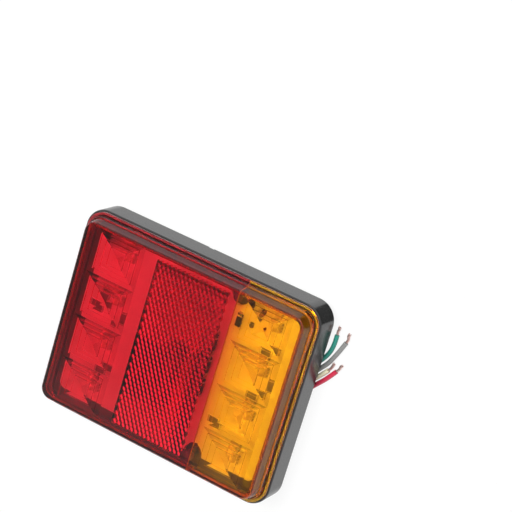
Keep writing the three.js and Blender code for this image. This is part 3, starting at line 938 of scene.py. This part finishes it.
# Cube corners: hexagonal cells in every other row, each with its middle lowered, and by half as
# much the three of its corners that lie at 90, 210 and 330 degrees
def reflex_half(shift_y, columns):
    radius = reflex_pitch / math.sqrt(3)
    step = reflex_pitch / math.sqrt(6)
    rows = reflex_rows // 2
    first_x = -(columns - 1) / 2 * reflex_pitch
    at = (first_x, shift_y - (rows - 1) * reflex_row, roof_z - reflex_drop)
    circle = bpy.ops.mesh.primitive_circle_add
    piece = start("reflex_cells", circle, at, vertices=6, radius=radius, fill_type="NGON")
    bpy.ops.mesh.poke()

    def from_middle(vert):
        return (vert.co / MM - Vector(at)).xy

    def is_middle(vert):
        return from_middle(vert).length < radius / 2

    def is_low_corner(vert):
        x, y = from_middle(vert)
        off_axis = math.degrees(math.atan2(y, x)) % 120 - 90
        return not is_middle(vert) and abs(off_axis) < 10

    pick(piece, "VERT", is_middle)
    lower(2 * step)
    pick(piece, "VERT", is_low_corner)
    lower(step)
    bpy.ops.object.mode_set(mode="OBJECT")
    return row_of(row_of(piece, columns, x=reflex_pitch), rows, y=2 * reflex_row)


# The array: both sets of rows as one closed body, cut straight at its sides
def reflex_array():
    lower_half = reflex_half(-reflex_row / 2, reflex_columns)
    upper_half = reflex_half(reflex_row / 2, reflex_columns + 1)
    piece = join(lower_half, upper_half)
    bpy.ops.object.mode_set(mode="EDIT")
    bpy.ops.mesh.select_all(action="SELECT")
    bpy.ops.mesh.remove_doubles(threshold=reflex_merge * MM)
    pick(piece, "EDGE", lambda edge: edge.is_boundary)
    rise = {"value": (0, 0, optics_root * MM)}
    bpy.ops.mesh.extrude_edges_move(TRANSFORM_OT_translate=rise)
    level = (0, 0, (roof_z + optics_root) * MM)
    bpy.ops.transform.resize(value=(1, 1, 0), center_override=level)
    bpy.ops.mesh.edge_face_add()
    done(piece)
    across = reflex_columns * reflex_pitch
    along = reflex_rows * reflex_row - reflex_trim
    low, high = roof_z - reflex_reach, roof_z + reflex_reach
    field = slab("field", 0, 0, across, along, low, high)
    return combine(piece, [field], "INTERSECT")


def make_lens():
    lens = cut(lens_outside(), lens_hollow())
    low, high = seat_z - tongue_depth, seat_z + flange_height / 2
    tongue = ring("tongue", tongue_inset, tongue_width, low, high)
    tiles = [optic_tiles(tile_x), optic_tiles(-tile_x)]
    return unite(lens, tongue, *tiles, reflex_array())


# The whole lens is cut at the colour border into its red and amber sections. The face of the amber
# section that looks at the border is painted orange-red: a painted glow of the red light that shows
# through at the border.
def add_lenses():
    red = make_lens()
    amber = copy_of(red, "amber_section")
    red.name = "red_section"
    far_x, far_y, far_z = lamp_length, lamp_width, 2 * roof_z
    cut(red, block("amber_end", (colour_border - border_gap, -far_y, 0), (far_x, far_y, far_z)))
    cut(amber, block("red_end", (-far_x, -far_y, 0), (colour_border + border_gap, far_y, far_z)))
    dress(red, red_pmma)
    dress(amber, amber_pmma)
    amber.data.materials.append(painted_border_glow)
    border_glow_x = (colour_border + border_glow_reach) * MM
    for face in amber.data.polygons:
        if face.normal.x < -0.9 and face.center.x < border_glow_x:
            face.material_index = 1
    fit(smooth(red, angle=25), "red_lens")
    fit(smooth(amber, angle=25), "amber_lens")


# Board: a white plate with its round opening, edge notches, peg holes and screw holes
def add_board():
    size = (board_length, board_width, 1)
    board = rounded_sheet("board_plate", size, board_corner, (0, 0, board_z), segments=8)
    extrude(component_z - board_z)
    round_edges(done(board), board_edge)
    low, high = board_z - spare, component_z + spare
    cut(
        board,
        bar("opening", opening_radius, 0, 0, low, high, sides=72),
        *[
            bar("notch", notch_radius, notch_x, y, low, high, sides=48)
            for y in (-notch_y, notch_y)
        ],
        *[
            bar("peg_hole", peg_hole_radius, *place, low, high, sides=24)
            for place in peg_places
        ],
        *[
            bar("screw_way", screw_hole_radius, *place, low, high, sides=24)
            for place in screw_places
        ],
    )
    smooth(board)
    fit(dress(board, board_white), "circuit_board")


# LED: a square resin package with a dome of gel and three tinned feet on each side
def add_leds():
    top = component_z + led_height
    body = slab("led_master", 0, 0, led_length, led_width, component_z, top)
    round_edges(body, led_edge)
    gel = dome("gel", gel_radius, top - gel_sink, gel_height)
    foot_y, foot_top = -led_foot_pitch, component_z + led_foot_height
    foot_size = (led_foot_length, led_foot_width)
    feet = []
    for foot_x in (-led_length / 2, led_length / 2):
        foot = slab("feet", foot_x, foot_y, *foot_size, component_z, foot_top)
        row = row_of(round_edges(foot, tin_edge), led_feet, y=led_foot_pitch)
        feet.append(dress(row, solder))
    master = join(smooth(dress(body, led_white)), dress(gel, led_gel), *feet)
    for x, shade in ((-tile_x, "red"), (tile_x, "amber")):
        for row, y in enumerate(led_rows):
            node = f"{shade}_led_{tile_rows - row}"
            fit(copy_of(master, f"{node}_package", (x, y, 0)), node)
    bpy.data.objects.remove(master)


# Axial diode: a black body along Y with a pale band, and leads bent down into beads of solder
def diode(name, x, y):
    axis, out, bend = diode_axis_z, diode_lead_reach, diode_lead_bend
    low, high = component_z, component_z + bead_height
    body = barrel(name, diode_radius, (x, y, axis), diode_length)
    band_radius = diode_radius + diode_band_height
    band = barrel("band", band_radius, (x, y + diode_band_y, axis), diode_band_width)
    lead = [(out, low + diode_lead_low), (out, axis - bend)]
    lead += [(out - 0.3 * bend, axis - 0.2 * bend), (out - bend, axis)]
    run = [Vector((x, y - away, z)) * MM for away, z in lead]
    run += [Vector((x, y + away, z)) * MM for away, z in reversed(lead)]
    leads = add_curve("leads", [run], diode_lead_diameter, solder, resolution=3)
    make_active(leads)
    bpy.ops.object.convert(target="MESH")
    beads = []
    for end in (-out, out):
        bead = bar("bead", bead_radius, x, y + end, low, high, sides=20, top=bead_top_radius)
        beads.append(dress(smooth(bead), solder))
    body = smooth(dress(round_edges(body, diode_edge, segments=3), epoxy))
    return join(body, smooth(dress(band, band_grey)), leads, *beads)


def add_diodes():
    for index, name in enumerate(("tail_diode", "stop_diode", "indicator_diode")):
        y = diode_y + (1 - index) * diode_pitch
        fit(diode(f"{name}_body", diode_x, y), name)


# Chip resistor: a black glazed top on white ceramic, with tinned ends
def chip(name, x, y, upright):
    low, top = component_z, component_z + chip_height
    ceramic_length = chip_length - 2 * ceramic_inset
    ceramic_low, ceramic_top = low + ceramic_drop, top - ceramic_drop
    ceramic = slab(name, 0, 0, ceramic_length, chip_width, ceramic_low, ceramic_top)
    glaze_size = (chip_length - 2 * glaze_inset, chip_width - 2 * glaze_side_inset)
    glaze = slab("glaze", 0, 0, *glaze_size, top - glaze_depth, top)
    dress(ceramic, led_white)
    dress(round_edges(glaze, glaze_edge), chip_black)
    end_x = (chip_length - chip_end_length) / 2
    ends = [slab("end", x, 0, chip_end_length, chip_width, low, top) for x in (-end_x, end_x)]
    for end in ends:
        dress(round_edges(end, tin_edge), solder)
    piece = join(ceramic, glaze, *ends)
    turn = Matrix.Rotation(math.pi / 2 if upright else 0, 4, "Z")
    piece.data.transform(Matrix.Translation(Vector((x, y, 0)) * MM) @ turn)
    return piece


# Chips, at shares of their tile column's width and pitch, and whether they stand along Y
chips = {
    "amber_resistor_1": (0.07, 1.01, False),
    "amber_resistor_2": (0.06, 0.02, False),
    "amber_resistor_3": (0.22, 0.26, True),
    "amber_resistor_4": (-0.42, -0.92, False),
    "red_resistor_1": (-0.23, 0.27, False),
    "red_resistor_2": (0.16, 0.16, True),
    "red_resistor_3": (0.15, -0.98, False),
}


def add_chips():
    for name, (x, y, upright) in chips.items():
        column = tile_x if name.startswith("amber") else -tile_x
        piece = chip(f"{name}_chip", column + x * tile_width, y * tile_pitch, upright)
        fit(piece, name)


# Supply diode: a moulded black block with a pale band and a flat tab at each end
def add_supply_diode():
    x, y, low = supply_diode_x, supply_diode_y, component_z
    top, tab_top = low + supply_diode_height, low + supply_tab_height
    body_size = (supply_diode_width, supply_diode_length)
    body = slab("supply_diode_block", x, y, *body_size, low, top)
    round_edges(body, supply_diode_edge)
    band_size = (supply_band_length, supply_band_width)
    band = slab("band", x, y + supply_band_y, *band_size, top - supply_band_depth, top)
    tab = slab("tab", x, y, supply_tab_width, supply_tab_length, low, tab_top)
    round_edges(tab, supply_tab_edge)
    piece = join(smooth(dress(body, epoxy)), dress(band, band_grey), dress(tab, solder))
    fit(piece, "supply_diode")


# Screw: a rounded head with a cross recess, on a plain shank. The solids number the two screws
# from the other side.
def add_screws():
    cross_span = (screw_cross_length, screw_cross_width)
    for index, (x, y) in enumerate(screw_places):
        name, radius, top = f"board_screw_{index + 1}_head", screw_head_radius, screw_head_top_z
        head = bar(name, radius, x, y, component_z, top, sides=36)
        round_edges(head, screw_head_edge, segments=4)
        shank = bar("shank", screw_radius, x, y, screw_low_z, component_z + bite, sides=24)
        low, high = top - screw_cross_depth, top + spare
        cross = [
            slab("cross", x, y, *span, low, high) for span in (cross_span, cross_span[::-1])
        ]
        screw = smooth(cut(unite(head, shank), *cross))
        fit(dress(screw, zinc), f"board_screw_{2 - index}")


# Threaded insert: a brass sleeve with two grip grooves and a plain bore
def add_inserts():
    for x, name in ((-rib_x, "left"), (rib_x, "right")):
        low, high = insert_low_z, insert_top_z
        sleeve = bar(f"{name}_insert_sleeve", insert_radius, x, 0, low, high, sides=48)
        for low in grip_lows:
            high = low + grip_width
            groove = bar("groove", insert_radius + spare, x, 0, low, high, sides=48)
            waist = bar("waist", grip_radius, x, 0, low - spare, high + spare, sides=48)
            cut(sleeve, cut(groove, waist))
        bore_top = insert_top_z + spare
        cut(sleeve, bar("bore", insert_bore_radius, x, 0, -spare, bore_top, sides=36))
        smooth(round_edges(sleeve, insert_edge))
        fit(dress(sleeve, brass), f"{name}_insert")


# Cable entry: a rubber grommet in the housing's floor, and sealant poured over it inside
def add_entry():
    low, high = recess_z - grommet_height, recess_z
    flange = bar("grommet_plug", grommet_radius, 0, 0, low, high, sides=56)
    round_edges(flange, grommet_edge, segments=3)
    plug = unite(flange, bar("plug", plug_radius, 0, 0, high - bite, floor_z, sides=48))
    fit(dress(smooth(plug), rubber), "cable_grommet")
    sealant = dome("sealant_dome", sealant_radius, floor_z, sealant_height)
    fit(dress(sealant, epoxy), "cable_sealant")


# Inner leads: each climbs out of the sealant and comes down on the board, on its own side. The
# climb is a share of the reach, and the height there.
climb = [
    (0.1, 13.9), (0.11, 15), (0.2, 17.2), (0.38, 17.75), (0.6, 17.75), (0.8, 17), (1, 16.25),
]


def add_inner_leads():
    for index, name in enumerate(wires):
        angle = (index + 0.5) * math.pi / 2
        x, y = inner_lead_reach * math.cos(angle), inner_lead_reach * math.sin(angle)
        line = smooth_line([(x * share, y * share, z) for share, z in climb], step=0.6)
        lead = add_curve(f"{name}_inner_lead", [line], wire_diameter, sheaths[name])
        fit(lead, f"{name}_lead")


# Floor: pale paper that shows white behind the lamp and keeps a faint shadow
def add_floor():
    floor = done(start("floor", bpy.ops.mesh.primitive_plane_add, size=floor_span))
    paper = Finish("floor_paper", {"Base Color": grey(0.72), "Roughness": 0.9})
    camera, glossy, transmission = [
        paper.node("ShaderNodeLightPath", f"Is {kind} Ray")
        for kind in ("Camera", "Glossy", "Transmission")
    ]
    shown = (camera + glossy + transmission) > 0.5
    plain = Field(paper, paper.tree.nodes["Principled BSDF"].outputs["BSDF"])
    glow = paper.node("ShaderNodeEmission", "Emission")
    shares = {0: shown * 0.9, 1: plain, 2: glow}
    mix = paper.node("ShaderNodeMixShader", "Shader", sockets=shares)
    paper.feed("Material Output", {"Surface": mix})
    dress(floor, paper.material)


# Card: black, and seen only in gloss, where it darkens the rounded corner between the grey sides
def add_card():
    plane = bpy.ops.mesh.primitive_plane_add
    card = done(start("black_card", plane, card_place, card_size, size=1))
    dress(card, Finish("card_black", {"Base Color": grey(0.01), "Roughness": 1}).material)
    for kind in ("camera", "diffuse", "transmission", "volume_scatter", "shadow"):
        setattr(card, f"visible_{kind}", False)


# Sky: white from the horizon up, and dimmer overhead
def add_sky():
    world = bpy.data.worlds.new("studio")
    bpy.context.scene.world = world
    world.use_nodes = True
    sky = Nodes(world.node_tree)
    direction = sky.node("ShaderNodeTexCoord", "Generated")
    height = sky.node("ShaderNodeSeparateXYZ", "Z", sockets={"Vector": direction})
    stops = {"stops": ((0.55, grey(1)), (0.8, grey(0.3)))}
    level = sky.node("ShaderNodeValToRGB", "Color", stops, {"Fac": height})
    sky.feed("Background", {"Color": level})


# Lamps: round areas that face the object, in metres and watts. One that isn't mirrored lights the
# object without a glare on its lens.
def add_lamp(name, at, size, power, mirrored=True):
    data = bpy.data.lights.new(name, "AREA")
    data.shape = "DISK"
    data.size = size
    data.energy = power
    lamp = show(bpy.data.objects.new(name, data))
    lamp.location = at
    lamp.visible_glossy = mirrored
    lamp.rotation_euler = (-Vector(at)).to_track_quat("-Z", "Y").to_euler()


add_camera()
bpy.context.scene.view_settings.view_transform = "Standard"
add_wires()
add_housing()
add_seal()
add_board()
add_leds()
add_diodes()
add_chips()
add_supply_diode()
add_screws()
add_inserts()
add_entry()
add_inner_leads()
add_lenses()
add_floor()
add_card()
add_sky()
add_lamp("key", (-0.16, 0.48, 1.5), size=0.7, power=27, mirrored=False)
add_lamp("fill", (0.2, 1.5, 0.7), size=1.2, power=6)
add_lamp("front", (0.8, 0.75, 1.75), size=0.8, power=2.2)
